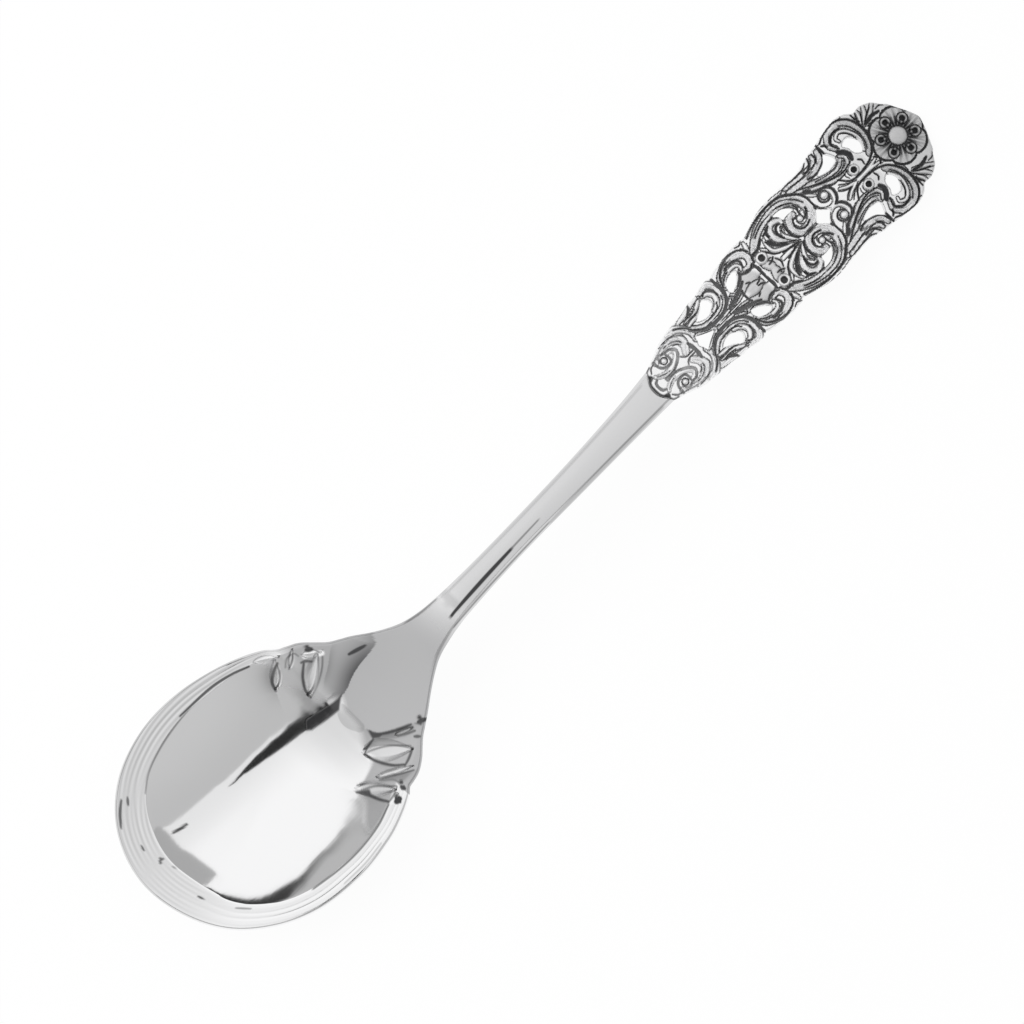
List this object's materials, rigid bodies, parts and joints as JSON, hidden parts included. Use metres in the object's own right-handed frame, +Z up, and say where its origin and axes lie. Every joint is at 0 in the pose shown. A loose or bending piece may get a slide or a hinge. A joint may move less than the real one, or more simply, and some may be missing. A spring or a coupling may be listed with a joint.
{
  "type": "jam spoon",
  "caption": "Jam spoon with a wide egg-shaped bowl, a moulded rim, fluted shoulders, a slim stem and a pierced handle of chased scrolls that ends in a flower.",
  "frame": {"origin": "middle of the spoon's length and width, at the level of the table that it lies on", "axes": "+X from the bowl tip to the handle tip, +Z up out of the hollow, +Y across"},
  "size_m": [0.1495, 0.0356, 0.0124],
  "materials": {
    "silver": "polished silver with dark patina in the recesses of the chasing"
  },
  "bodies": {
    "root": {"spoon": "silver"}
  },
  "joints": []
}
